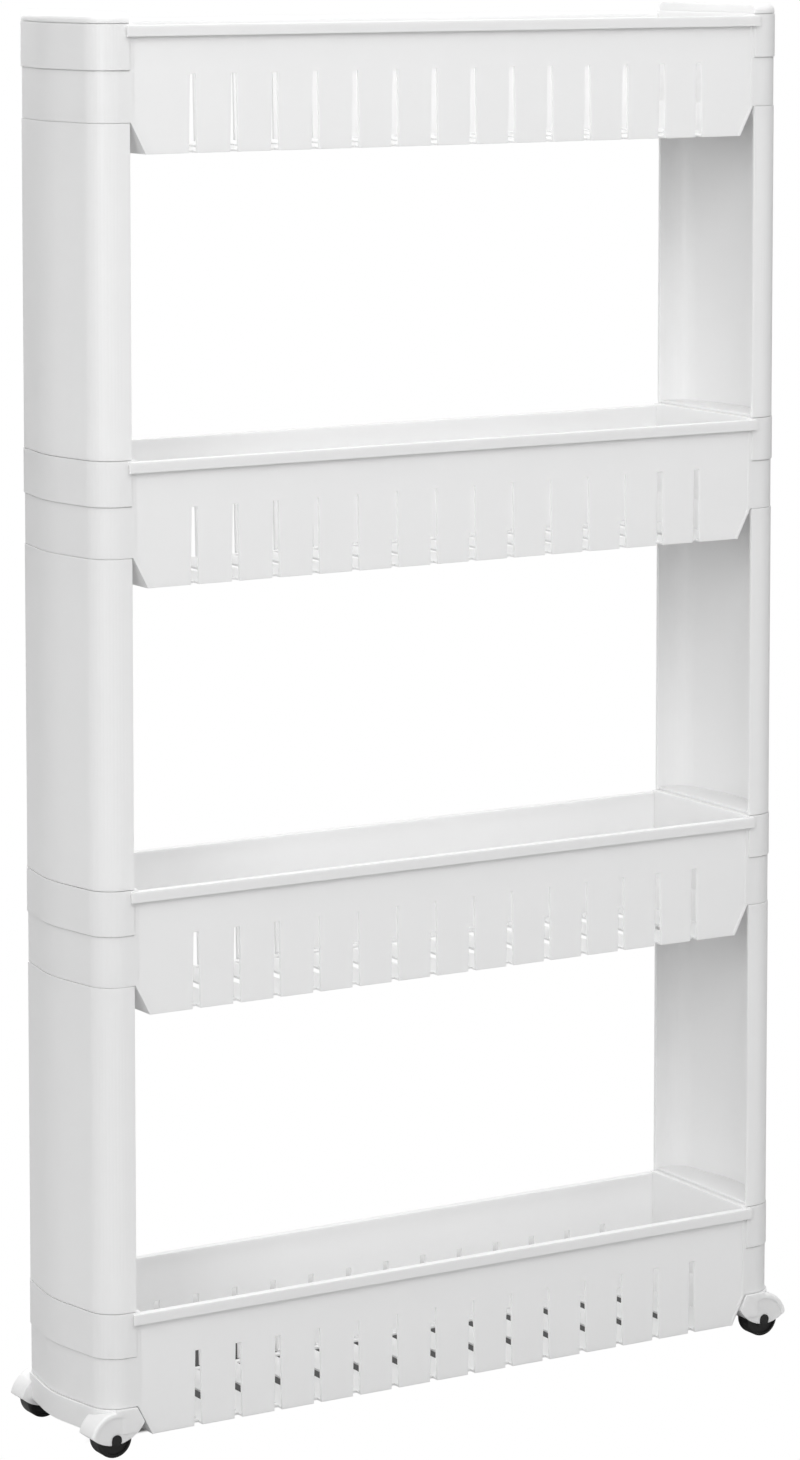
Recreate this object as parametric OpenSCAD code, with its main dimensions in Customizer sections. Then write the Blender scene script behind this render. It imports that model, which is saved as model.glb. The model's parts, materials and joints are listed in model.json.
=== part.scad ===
// Slim rolling pantry cart: four slotted trays on C-channel end columns, over two wheel brackets.
// Origin on the floor under the cart's centre. X runs along the trays, Y across them, Z is up.

/* [Cart] */
// Length between the two facing column openings
basket_len = 523; // [440:1:560]
// Width across the end belts
cart_w = 124; // [110:1:140]
// Height from one tray to the next
tier_pitch = 300; // [240:5:330]
// Gap between the ground and the lowest basket
ground_gap = 13; // [12.5:0.5:16]

/* [Tray] */
// Height of the belt that wraps each end of a tray
belt_h = 68; // [60:1:76]
// How far the basket hangs below its belts
basket_drop = 22; // [16:1:26]
// How far each basket end slopes in on its way down
basket_slope_in = 11.5; // [8:0.5:14]
// Thickness of the tray walls
wall = 2.2; // [1.8:0.1:2.6]
// Thickness of the basket floor
floor_t = 1.5; // [1.2:0.1:2.4]
// Height of the rim along each long side
rim_h = 7.6; // [6:0.2:10]
// How far the rim stands out from the long wall
rim_proud = 3.6; // [2.8:0.1:5]

/* [Slots] */
// Number of slots along each long wall
slot_count = 14; // [8:1:14]
// Distance between neighbouring slots
slot_pitch = 32.6; // [28:0.2:33]
// Distance from the top of the rim to the top of a slot
slot_drop = 34; // [28:1:40]
// Width of a slot at its top
slot_top_w = 4.6; // [3.6:0.2:5.4]
// Width of a slot at its foot
slot_foot_w = 6.6; // [5.6:0.2:7.6]
// Width of a slot across the basket floor
floor_slot_w = 10; // [8:0.5:12]

/* [End profile] */
// Radius of the rounded upright corners
corner_r = 20; // [16:1:24]
// Slope of the end face beside its middle lobe, in degrees
crown_slope = 10; // [6:1:12]
// Half the width of the middle lobe
lobe_half_w = 17; // [12:1:20]

/* [Column] */
// Thickness of the column channel
column_wall = 2.4; // [2:0.1:2.8]
// Length of the plugs that push into the trays
plug_len = 12; // [8:1:16]

/* [Running gear] */
// Radius of a wheel
wheel_r = 13.4; // [12.4:0.1:14]
// Width of a wheel
wheel_w = 15; // [12:0.5:16]
// Diameter of an axle pin
axle_d = 7.6; // [6:0.2:8]

/* [Hidden] */

$fn = 64;
LEFT = -1;
RIGHT = 1;
FRONT = -1;
REAR = 1;
PLASTIC = "whitesmoke";
RUNNING = "black";
EPS = 0.01;

CUT = 1;              // how far a cut runs past the solid it cuts

push_gap = 0.15;      // clearance all round a push-in joint
running_gap = 0.05;   // radial clearance between a pin and what turns on it
reveal = 0.5;         // height of the shadow line left between stacked pieces

// Levels of the lowest tray
rim_below_belt = 1.5;
step_share = 0.53;    // share of the belt's height that lies below its step
belt_z = ground_gap + basket_drop;
top_z = belt_z + belt_h;
rim_z = top_z - rim_below_belt;
step_z = belt_z + step_share * belt_h;

// Groove that runs round each belt just below its step
groove_h = 0.6;
groove_depth = 0.8;

// Plan sizes of the basket
long_wall_inset = 0.4;
basket_end_gap = 1;
face_x = basket_len / 2;
long_wall_y = cart_w / 2 - long_wall_inset;
basket_top_x = face_x - basket_end_gap;
basket_foot_x = basket_top_x - basket_slope_in;

// How far each piece's outline stands out from the plain end profile
belt_lower_grow = 0;
column_grow = 0.4;
belt_upper_grow = 0.8;
bracket_grow = 1.6;
plug_grow = -wall - push_gap;
plug_wall = 1.8;

// Plan centres of the corner and lobe arcs
side_flat_len = 7;
corner_x = face_x + side_flat_len;
corner_y = cart_w / 2 - corner_r;
lobe_r = lobe_half_w / sin(crown_slope);
flat_end_x = corner_x + corner_r * cos(crown_slope);
flat_end_y = corner_y + corner_r * sin(crown_slope);
lobe_x = flat_end_x + (flat_end_y - lobe_half_w) * tan(crown_slope) - lobe_r * cos(crown_slope);

// Socket in a tray's end deck, and the box-shaped plug that fills it
deck_h = 2;
plate_setback = 2;    // how far the plate above the deck stands back from the column's opening
socket_setback = 10.5;
socket_x = face_x + socket_setback;
socket_len = 12;
socket_half_w = 40;

// Running gear
axle_setback = 16.5;
axle_x = face_x + axle_setback;
axle_z = wheel_r;
axle_r = axle_d / 2;
cheek = 1.8;          // thickness of a guard's two cheeks
wheel_side_gap = 0.5;
wheel_rim_gap = 2.2;
guard_r = 20;
well_r = wheel_r + wheel_rim_gap;
skirt_r = 26.5;       // radius of a guard's lower edge, seen from the side
skirt_z = 10;         // lowest point of that edge
skirt_x = axle_x + 1;
crossbar_z = 17;
crossbar_t = 3;
cheek_outer_y = cart_w / 2 + bracket_grow;
axle_y = cheek_outer_y - cheek - wheel_side_gap - wheel_w / 2;
cheek_inner_y = axle_y - wheel_w / 2 - wheel_side_gap - cheek;
guard_depth = cheek_outer_y - cheek_inner_y;
recess_r = 16.2;
recess_depth = 0.6;
basket_gap = 1.3;     // gap between a guard and the basket's sloping end

// One side of the end profile, from the column's opening to the middle of the lobe
function half_outline(grow, mouth) = concat(
    [[face_x - mouth, cart_w / 2 + grow]],
    arc([corner_x, corner_y], corner_r + grow, 90, crown_slope, 12),
    arc([lobe_x, 0], lobe_r + grow, crown_slope, 0, 5)
);

// Points along an arc, both ends included
function arc(centre, r, from, to, steps) = [
    for (i = [0:steps])
        let (a = from + (to - from) * i / steps) centre + r * [cos(a), sin(a)]
];

// The whole end profile at the right-hand end
module end_outline(grow, mouth = 0) {
    half = half_outline(grow, mouth);
    far_side = [for (i = [len(half) - 2:-1:0]) [half[i][0], -half[i][1]]];
    polygon(concat(half, far_side));
}

module end_block(grow, z0, z1, mouth = 0) {
    translate([0, 0, z0]) linear_extrude(z1 - z0) end_outline(grow, mouth);
}

// A C-shaped wall between two outlines, open towards the middle of the cart
module end_shell(outer, inner, z0, z1, setback = 0) {
    translate([0, 0, z0]) linear_extrude(z1 - z0) difference() {
        end_outline(outer, -setback);
        end_outline(inner, CUT);
    }
}

// Children are drawn for the right-hand end and mirrored to the left
module at_end(end) {
    mirror([end < 0 ? 1 : 0, 0, 0]) children();
}

// Children are drawn for the rear side and mirrored to the front
module at_side(side) {
    mirror([0, side < 0 ? 1 : 0, 0]) children();
}

// Children are drawn for the lowest tray and lifted to a higher one
module at_level(tier) {
    translate([0, 0, tier * tier_pitch]) children();
}

// Extrudes a shape drawn in the XZ plane across Y, from y0 to y1
module across(y0, y1) {
    translate([0, y1, 0]) rotate([90, 0, 0]) linear_extrude(y1 - y0) children();
}

// ---- Trays ----

function slot_x(i) = (i - (slot_count - 1) / 2) * slot_pitch;

// A wall slot, wider at the foot, running out through the bottom edge
module wall_slot() {
    top = rim_z - slot_drop;
    polygon([
        [-slot_top_w / 2, top], [slot_top_w / 2, top],
        [slot_foot_w / 2, ground_gap - CUT], [-slot_foot_w / 2, ground_gap - CUT]
    ]);
}

module long_wall(side) {
    y = side * (long_wall_y - wall / 2);
    across(y - wall / 2, y + wall / 2) difference() {
        polygon([
            [-basket_foot_x, ground_gap], [basket_foot_x, ground_gap],
            [basket_top_x, belt_z], [face_x, belt_z], [face_x, rim_z],
            [-face_x, rim_z], [-face_x, belt_z], [-basket_top_x, belt_z]
        ]);
        for (i = [0:slot_count - 1]) translate([slot_x(i), 0]) wall_slot();
    }
}

// The rim is an upside-down L: a flange on top of the wall with a lip that hangs outside it
module long_rim(side) {
    overrun = 3;
    lip = 1.6;
    rim_len = basket_len + 2 * overrun;
    inner_y = long_wall_y - wall;
    outer_y = long_wall_y + rim_proud;
    at_side(side) {
        translate([-rim_len / 2, inner_y, rim_z - wall]) cube([rim_len, outer_y - inner_y, wall]);
        translate([-rim_len / 2, outer_y - lip, rim_z - rim_h]) cube([rim_len, lip, rim_h]);
    }
}

module basket_floor() {
    side_strip_w = 5;
    notch_depth = 7;
    slot_len = 2 * (long_wall_y - notch_depth - side_strip_w);
    translate([0, 0, ground_gap]) linear_extrude(floor_t) difference() {
        square([2 * basket_foot_x, 2 * long_wall_y], center = true);
        for (i = [0:slot_count - 1]) translate([slot_x(i), 0]) {
            square([floor_slot_w, slot_len], center = true);
            for (side = [FRONT, REAR])
                translate([0, side * long_wall_y]) square([slot_foot_w, 2 * notch_depth], center = true);
        }
    }
}

// The wall between the basket and the hollow end, sloping in below the belt
module end_wall() {
    across(-cart_w / 2, cart_w / 2) polygon([
        [face_x, top_z], [face_x, belt_z], [basket_top_x, belt_z], [basket_foot_x, ground_gap],
        [basket_foot_x - wall, ground_gap], [basket_top_x - wall, belt_z], [basket_top_x - wall, top_z]
    ]);
}

module end_belt() {
    inner = belt_lower_grow - wall;
    end_shell(belt_lower_grow, inner, belt_z, step_z - groove_h);
    end_shell(belt_lower_grow - groove_depth, inner, step_z - groove_h, step_z);
    end_shell(belt_upper_grow, inner, step_z, top_z - reveal);
    difference() {
        end_block(belt_lower_grow - wall / 2, top_z - deck_h, top_z);
        translate([socket_x, -socket_half_w, top_z - deck_h - CUT])
            cube([socket_len, 2 * socket_half_w, deck_h + 2 * CUT]);
    }
}

module tray(tier) {
    color(PLASTIC) at_level(tier) {
        basket_floor();
        for (side = [FRONT, REAR]) {
            long_wall(side);
            long_rim(side);
        }
        for (end = [LEFT, RIGHT]) at_end(end) {
            end_wall();
            end_belt();
        }
    }
}

// ---- Columns and caps ----

// Box-shaped plug that hangs below a column or cap into the socket of the tray under it
module socket_plug(z) {
    size_x = socket_len - 2 * push_gap;
    size_y = 2 * (socket_half_w - push_gap);
    translate([socket_x + push_gap, -size_y / 2, z - plug_len]) difference() {
        cube([size_x, size_y, plug_len + EPS]);
        translate([plug_wall, plug_wall, -CUT])
            cube([size_x - 2 * plug_wall, size_y - 2 * plug_wall, plug_len - plug_wall + CUT]);
    }
}

// C-shaped neck that stands above a column or bracket inside the belt of the tray over it
module belt_plug(z, root_h) {
    inner = plug_grow - plug_wall;
    end_shell(plug_grow, inner, z - EPS, z + plug_len, push_gap);
    end_shell(-column_wall / 2, inner, z - root_h, z);
}

module column(end, tier) {
    foot_z = top_z;
    head_z = belt_z + tier_pitch;
    plate_h = 2;
    neck_root_h = 6;
    color(PLASTIC) at_level(tier) at_end(end) {
        end_shell(column_grow, column_grow - column_wall, foot_z, head_z - reveal);
        end_shell(column_grow - column_wall / 2, column_grow - column_wall, foot_z, head_z);
        difference() {
            end_block(column_grow - column_wall / 2, foot_z, foot_z + plate_h);
            translate([face_x - CUT, -cart_w / 2, foot_z - CUT])
                cube([plate_setback + CUT, cart_w, plate_h + 2 * CUT]);
        }
        socket_plug(foot_z);
        belt_plug(head_z, neck_root_h);
    }
}

// Cap with a rounded top edge, closing the socket of the top tray
module top_cap(end) {
    cap_h = 6.5;
    edge_r = 5;
    slice_h = 0.2;
    color(PLASTIC) at_level(3) at_end(end) translate([0, 0, top_z]) {
        hull() {
            end_block(column_grow, 0, cap_h - edge_r);
            for (a = [0:15:75])
                end_block(column_grow - edge_r * (1 - cos(a)), 0, cap_h - edge_r * (1 - sin(a)));
            end_block(column_grow - edge_r + slice_h, 0, cap_h);
        }
        socket_plug(0);
    }
}

// ---- Running gear ----

// Round guard over a wheel: a drum whose outer face meets its rim in a small fillet
module guard_drum() {
    fillet_r = 1.8;
    translate([axle_x, cheek_inner_y, axle_z]) rotate([-90, 0, 0]) rotate_extrude($fn = 128) polygon(concat(
        [[0, 0], [guard_r, 0]],
        arc([guard_r - fillet_r, guard_depth - fillet_r], fillet_r, 0, 90, 6),
        [[0, guard_depth]]
    ));
}

// The block that joins a guard to the crossbar, its inner edge following the basket's slope
module guard_root() {
    across(cheek_inner_y, cheek_outer_y) polygon([
        [axle_x, skirt_z], [axle_x, belt_z], [basket_top_x + basket_gap, belt_z],
        [basket_foot_x + basket_gap, ground_gap]
    ]);
}

// Everything a guard may fill, seen from the side: an arc below and the belt above
module guard_limits() {
    across(cheek_inner_y, cheek_outer_y) intersection() {
        translate([skirt_x, skirt_z + skirt_r]) circle(skirt_r, $fn = 128);
        translate([axle_x - 2 * guard_r, 0]) square([4 * guard_r, belt_z - reveal]);
    }
}

// Shallow round recess in the outer face, centred on the axle
module guard_recess() {
    translate([axle_x, cheek_outer_y - recess_depth, axle_z]) rotate([-90, 0, 0])
        cylinder(r = recess_r, h = 2 * recess_depth);
}

// Open-bottomed notch that the axle pin snaps into
module axle_notch() {
    r = axle_r + running_gap;
    len = guard_depth + 2 * CUT;
    translate([axle_x, cheek_inner_y - CUT, 0]) {
        translate([0, 0, axle_z]) rotate([-90, 0, 0]) cylinder(r = r, h = len);
        translate([-r, 0, 0]) cube([2 * r, len, axle_z]);
    }
}

// Open-bottomed space the wheel turns in
module wheel_well() {
    depth = wheel_w + 2 * wheel_side_gap;
    translate([axle_x, axle_y - depth / 2, 0]) {
        translate([0, 0, axle_z]) rotate([-90, 0, 0]) cylinder(r = well_r, h = depth);
        translate([-well_r, 0, 0]) cube([2 * well_r, depth, axle_z]);
    }
}

module wheel_guard(side) {
    at_side(side) difference() {
        intersection() {
            union() {
                guard_drum();
                guard_root();
            }
            guard_limits();
        }
        guard_recess();
        wheel_well();
        axle_notch();
    }
}

module wheel_bracket(end) {
    plate_h = 1.5;
    neck_root_h = 2;
    color(PLASTIC) at_end(end) {
        difference() {
            end_shell(bracket_grow, bracket_grow - crossbar_t, crossbar_z, belt_z - reveal);
            for (side = [FRONT, REAR]) at_side(side) wheel_well();
        }
        end_block(bracket_grow - crossbar_t / 2, belt_z - reveal - plate_h, belt_z - reveal);
        for (side = [FRONT, REAR]) wheel_guard(side);
        belt_plug(belt_z, neck_root_h);
    }
}

// Children are drawn about Z, outwards being +Z, and moved onto a wheel's axis
module at_axle(end, side) {
    translate([end * axle_x, side * axle_y, axle_z]) rotate([-90 * side, 0, 0]) children();
}

module wheel(end, side) {
    edge_r = 2;
    half_w = wheel_w / 2;
    bore_r = axle_r + running_gap;
    hub_r = 6;
    rim_r = wheel_r - 2.4;
    dish = 1.6;
    half_profile = concat(
        [[bore_r, half_w], [hub_r, half_w], [hub_r, half_w - dish], [rim_r, half_w - dish]],
        [[rim_r, half_w]],
        arc([wheel_r - edge_r, half_w - edge_r], edge_r, 90, 0, 6)
    );
    far_profile = [for (i = [len(half_profile) - 1:-1:0]) [half_profile[i][0], -half_profile[i][1]]];
    color(RUNNING) at_axle(end, side) rotate_extrude() polygon(concat(half_profile, far_profile));
}

// The pin spans both cheeks of its housing and ends flush with the outer one
module axle(end, side) {
    color(RUNNING) at_axle(end, side) translate([0, 0, cheek_inner_y - axle_y])
        cylinder(r = axle_r, h = cheek_outer_y - cheek_inner_y);
}

tray(0);  // tray_bottom
tray(1);  // tray_lower
tray(2);  // tray_upper
tray(3);  // tray_top
column(LEFT, 0);  // column_left_lower
column(LEFT, 1);  // column_left_middle
column(LEFT, 2);  // column_left_upper
column(RIGHT, 0);  // column_right_lower
column(RIGHT, 1);  // column_right_middle
column(RIGHT, 2);  // column_right_upper
top_cap(LEFT);  // top_cap_left
top_cap(RIGHT);  // top_cap_right
wheel_bracket(LEFT);  // wheel_bracket_left
wheel_bracket(RIGHT);  // wheel_bracket_right
wheel(LEFT, FRONT);  // wheel_front_left
wheel(RIGHT, FRONT);  // wheel_front_right
wheel(LEFT, REAR);  // wheel_rear_left
wheel(RIGHT, REAR);  // wheel_rear_right
axle(LEFT, FRONT);  // axle_front_left
axle(RIGHT, FRONT);  // axle_front_right
axle(LEFT, REAR);  // axle_rear_left
axle(RIGHT, REAR);  // axle_rear_right
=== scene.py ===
"""Looks of the slim rolling pantry cart: plastic materials, surfaces, camera and studio."""
import json
import math

import bpy
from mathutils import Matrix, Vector


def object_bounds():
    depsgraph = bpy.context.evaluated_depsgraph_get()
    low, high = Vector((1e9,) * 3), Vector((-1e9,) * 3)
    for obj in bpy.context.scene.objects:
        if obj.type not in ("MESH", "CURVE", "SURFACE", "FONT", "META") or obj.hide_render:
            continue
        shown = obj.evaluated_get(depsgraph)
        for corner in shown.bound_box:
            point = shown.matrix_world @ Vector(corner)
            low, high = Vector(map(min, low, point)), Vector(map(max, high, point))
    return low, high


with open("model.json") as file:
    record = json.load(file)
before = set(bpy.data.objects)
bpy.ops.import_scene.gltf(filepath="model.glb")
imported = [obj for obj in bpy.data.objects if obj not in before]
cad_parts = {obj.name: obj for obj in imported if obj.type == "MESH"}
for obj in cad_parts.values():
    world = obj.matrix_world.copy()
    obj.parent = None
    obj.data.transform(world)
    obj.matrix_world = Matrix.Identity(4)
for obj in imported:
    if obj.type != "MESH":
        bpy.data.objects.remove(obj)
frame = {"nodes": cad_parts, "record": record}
cad_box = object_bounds()

MM = 0.001
low, high = (Vector(corner) for corner in cad_box)
centre = (low + high) / 2
tall = high.z - low.z


# ---- Plastics ----
PLASTIC_IOR = 1.49
NOISE_SPREAD = (0.3, 0.7)       # nearly all values of a noise texture lie between these
PATCH_SCALE = 28.0              # the noise scales are per metre
PATCH_SHADE = 0.985             # the darkest patch's brightness, as a share of the colour
RIPPLE_SCALE = 17.0
RIPPLE_HEIGHT = 0.6 * MM
GRAIN_SCALE = 2600.0
GRAIN_HEIGHT = 0.02 * MM


def node_tree(material):
    material.use_nodes = True
    tree = material.node_tree
    return tree, tree.nodes["Principled BSDF"]


def add_node(tree, kind, **inputs):
    """Adds a node; an input's name is written with underscores for spaces."""
    node = tree.nodes.new(kind)
    for name, value in inputs.items():
        node.inputs[name.replace("_", " ")].default_value = value
    return node


def patchy_skin(tree, bsdf, colour, rough, rough_spread):
    """Gloss and shade drift a little from patch to patch."""
    patches = add_node(tree, "ShaderNodeTexNoise", Scale=PATCH_SCALE, Detail=4.0, Roughness=0.6)
    lowest, highest = NOISE_SPREAD
    gloss = add_node(tree, "ShaderNodeMapRange", From_Min=lowest, From_Max=highest,
                     To_Min=rough - rough_spread, To_Max=rough + rough_spread)
    tint = tree.nodes.new("ShaderNodeMix")
    tint.data_type = "RGBA"
    tint.inputs["A"].default_value = (*[PATCH_SHADE * channel for channel in colour], 1)
    tint.inputs["B"].default_value = (*colour, 1)
    tree.links.new(patches.outputs["Fac"], gloss.inputs["Value"])
    tree.links.new(patches.outputs["Fac"], tint.inputs["Factor"])
    tree.links.new(gloss.outputs["Result"], bsdf.inputs["Roughness"])
    tree.links.new(tint.outputs["Result"], bsdf.inputs["Base Color"])
    return patches


def moulded_relief(tree, bsdf, ripple, grain):
    """A slow ripple left by the mould, with fine grain over it."""
    wave = add_node(tree, "ShaderNodeTexNoise", Scale=RIPPLE_SCALE, Detail=1.0, Roughness=0.4)
    skin = add_node(tree, "ShaderNodeTexNoise", Scale=GRAIN_SCALE, Detail=2.0, Roughness=0.5)
    ripple_bump = add_node(tree, "ShaderNodeBump", Strength=ripple, Distance=RIPPLE_HEIGHT)
    grain_bump = add_node(tree, "ShaderNodeBump", Strength=grain, Distance=GRAIN_HEIGHT)
    tree.links.new(wave.outputs["Fac"], ripple_bump.inputs["Height"])
    tree.links.new(skin.outputs["Fac"], grain_bump.inputs["Height"])
    tree.links.new(ripple_bump.outputs["Normal"], grain_bump.inputs["Normal"])
    tree.links.new(grain_bump.outputs["Normal"], bsdf.inputs["Normal"])
    return wave, skin


def plastic(name, colour, rough, rough_spread, ripple, grain, glow_depth=None):
    """Moulded plastic. Light travels glow_depth inside it, if that is given."""
    material = bpy.data.materials.new(name)
    tree, bsdf = node_tree(material)
    bsdf.inputs["IOR"].default_value = PLASTIC_IOR
    textures = [patchy_skin(tree, bsdf, colour, rough, rough_spread)]
    textures += moulded_relief(tree, bsdf, ripple, grain)
    place = tree.nodes.new("ShaderNodeTexCoord")
    for texture in textures:
        tree.links.new(place.outputs["Object"], texture.inputs["Vector"])
    if glow_depth:
        bsdf.inputs["Subsurface Weight"].default_value = 1.0
        bsdf.inputs["Subsurface Radius"].default_value = (1, 1, 1)
        bsdf.inputs["Subsurface Scale"].default_value = glow_depth
    return material


MATERIALS = {
    "white_plastic": plastic("white_moulded_plastic", (0.92, 0.92, 0.92), 0.38, 0.06, 0.25, 0.25,
                             glow_depth=1.5 * MM),
    "black_plastic": plastic("black_moulded_plastic", (0.012, 0.012, 0.012), 0.4, 0.08, 0.1, 0.4),
}


# ---- Surfaces: a piece's faces come in unjoined, so its edges stay as crisp as in the CAD model ----
SHARP = math.radians(28)         # edges that turn further than this stay sharp in the shading
FLAT = math.radians(0.4)         # triangles that turn less than this become one flat face


def finish_surface(piece):
    piece.data.set_sharp_from_angle(angle=SHARP)
    flatten = piece.modifiers.new("flatten", "DECIMATE")
    flatten.decimate_type = "DISSOLVE"
    flatten.angle_limit = FLAT
    even = piece.modifiers.new("even_shading", "WEIGHTED_NORMAL")
    even.keep_sharp = True


for entry in frame["record"]["subparts"]:
    piece = frame["nodes"][entry["node"]]
    piece.data.materials.clear()
    piece.data.materials.append(MATERIALS[entry["material_slot"]])
    finish_surface(piece)


# ---- Camera: from the front left, about level with the top tray ----
EYE = Vector((-1.80139, -2.94423, 0.57766))   # from the cart's centre, in cart heights
EYE_TURN = math.radians(31.39)                # how far it is turned from looking along +Y
EYE_TILT = math.radians(5.59)                 # how far it looks down

SENSOR = 36                                   # width of the film, and focal length, in mm
FOCAL = 118.9
SHIFT = (-0.002, -0.2466)                     # lens shift right and up, in film widths

camera_data = bpy.data.cameras.new("camera")
camera_data.sensor_width = SENSOR
camera_data.lens = FOCAL
camera_data.shift_x, camera_data.shift_y = SHIFT
camera = bpy.data.objects.new("camera", camera_data)
camera.location = centre + tall * EYE
camera.rotation_euler = (math.pi / 2 - EYE_TILT, 0, -EYE_TURN)
bpy.context.scene.collection.objects.link(camera)
bpy.context.scene.camera = camera


# ---- Studio: a white room whose floor and walls look pure white to the camera ----
PAPER = (0.4, 0.4, 0.4, 1)    # what the floor gives back to the cart's underside
PAPER_ROUGH = 0.9
WHITE = (1, 1, 1, 1)
AMBIENT = 0.565               # strength of the even light from the room
FLOOR_HALF = 30               # half of the floor's side, in cart heights

# The cart's shade on the floor. Lengths along the cart are in its half lengths, others in its half depths.
SHADE = 0.9                   # how dark it is
SHADE_LEN = 0.91              # where it ends at each side
SHADE_SIDE_FULL = 0.9         # where it is full there, as a share of SHADE_LEN
SHADE_START = -0.34           # where it starts, measured back from the cart's middle
SHADE_START_FULL = -0.24      # where it is full there
SHADE_REACH = 5.2             # where it ends at the back
SHADE_REACH_FULL = 0.4        # where it is full there, as a share of SHADE_REACH
NEAR_VIEW = math.radians(10)  # the shade is full in views within this angle of the main one
FAR_VIEW = math.radians(20)   # and gone beyond this angle

# Soft lamps: place and size in cart heights, power in watts
LAMPS = {
    "front_left": ((-3.0, -2.4, 1.0), (1.2, 2.0), 33),
    "front_right": ((2.2, -2.6, 0.9), (1.6, 2.0), 4),
    "front_high": ((-0.6, -2.0, 2.2), (2.0, 1.2), 20),
    "top": ((0.0, -0.3, 2.9), (2.5, 2.5), 26),
    "back": ((0.3, 3.2, 1.3), (2.0, 2.0), 24),
    "back_high": ((0.3, 2.0, 2.2), (2.0, 1.2), 22),
}


def camera_sees(tree, seen, lit):
    """A shader that shows one thing to the camera and lights the object with another."""
    rays = tree.nodes.new("ShaderNodeLightPath")
    mix = tree.nodes.new("ShaderNodeMixShader")
    tree.links.new(rays.outputs["Is Camera Ray"], mix.inputs["Fac"])
    tree.links.new(lit, mix.inputs[1])
    tree.links.new(seen, mix.inputs[2])
    return mix.outputs["Shader"]


def maths(tree, operation, first, second):
    """A maths node on two values, each a socket or a number."""
    node = tree.nodes.new("ShaderNodeMath")
    node.operation = operation
    for socket, value in zip(node.inputs, (first, second)):
        if isinstance(value, bpy.types.NodeSocket):
            tree.links.new(value, socket)
        else:
            socket.default_value = value
    return node.outputs["Value"]


def fade(tree, value, start, end):
    """Rises smoothly from 0 to 1 as the value goes from start to end."""
    ramp = add_node(tree, "ShaderNodeMapRange", From_Min=start, From_Max=end)
    ramp.interpolation_type = "SMOOTHSTEP"
    tree.links.new(value, ramp.inputs["Value"])
    return ramp.outputs["Result"]


def seen_from_front(tree, toward_viewer):
    """1 on rays towards the main camera and 0 on rays towards any other side."""
    match = tree.nodes.new("ShaderNodeVectorMath")
    match.operation = "DOT_PRODUCT"
    match.inputs[1].default_value = (EYE * tall + Vector((0, 0, tall / 2))).normalized()
    tree.links.new(toward_viewer, match.inputs[0])
    return fade(tree, match.outputs["Value"], math.cos(FAR_VIEW), math.cos(NEAR_VIEW))


def shaded_white(tree):
    """White paper with the cart's soft shade, hidden behind the cart and seen only through its slots."""
    point = tree.nodes.new("ShaderNodeNewGeometry")
    axes = tree.nodes.new("ShaderNodeSeparateXYZ")
    tree.links.new(point.outputs["Position"], axes.inputs["Vector"])
    behind = axes.outputs["Y"]
    shift = maths(tree, "MULTIPLY", behind, math.tan(EYE_TURN))
    beside = maths(tree, "ABSOLUTE", maths(tree, "SUBTRACT", axes.outputs["X"], shift), 0)
    half_len = SHADE_LEN * high.x
    far = SHADE_REACH * high.y
    shade = SHADE
    for edge in (
        fade(tree, beside, half_len, SHADE_SIDE_FULL * half_len),
        fade(tree, behind, SHADE_START * high.y, SHADE_START_FULL * high.y),
        fade(tree, behind, far, SHADE_REACH_FULL * far),
        seen_from_front(tree, point.outputs["Incoming"]),
    ):
        shade = maths(tree, "MULTIPLY", edge, shade)
    glow = add_node(tree, "ShaderNodeEmission", Color=WHITE)
    tree.links.new(maths(tree, "SUBTRACT", 1.0, shade), glow.inputs["Strength"])
    return glow.outputs["Emission"]


def studio_floor():
    half = FLOOR_HALF * tall
    corners = [(-half, -half, low.z), (half, -half, low.z), (half, half, low.z), (-half, half, low.z)]
    mesh = bpy.data.meshes.new("studio_floor")
    mesh.from_pydata(corners, [], [(0, 1, 2, 3)])
    paper = bpy.data.materials.new("studio_paper")
    tree, bsdf = node_tree(paper)
    bsdf.inputs["Base Color"].default_value = PAPER
    bsdf.inputs["Roughness"].default_value = PAPER_ROUGH
    surface = camera_sees(tree, shaded_white(tree), bsdf.outputs["BSDF"])
    tree.links.new(surface, tree.nodes["Material Output"].inputs["Surface"])
    mesh.materials.append(paper)
    floor = bpy.data.objects.new("studio_floor", mesh)
    bpy.context.scene.collection.objects.link(floor)


def studio_walls():
    world = bpy.data.worlds.new("studio")
    world.use_nodes = True
    tree = world.node_tree
    room = tree.nodes["Background"]
    room.inputs["Color"].default_value = WHITE
    room.inputs["Strength"].default_value = AMBIENT
    backdrop = add_node(tree, "ShaderNodeBackground", Color=WHITE, Strength=1.0)
    surface = camera_sees(tree, backdrop.outputs["Background"], room.outputs["Background"])
    tree.links.new(surface, tree.nodes["World Output"].inputs["Surface"])
    bpy.context.scene.world = world


def soft_lamp(name, place, size, power):
    light = bpy.data.lights.new(name, "AREA")
    light.shape = "RECTANGLE"
    light.size, light.size_y = (tall * side for side in size)
    light.energy = power
    lamp = bpy.data.objects.new(name, light)
    lamp.location = centre + tall * Vector(place)
    lamp.rotation_euler = (centre - lamp.location).to_track_quat("-Z", "Y").to_euler()
    bpy.context.scene.collection.objects.link(lamp)


studio_floor()
studio_walls()
for name, (place, size, power) in LAMPS.items():
    soft_lamp(name, place, size, power)
bpy.context.scene.view_settings.view_transform = "Standard"
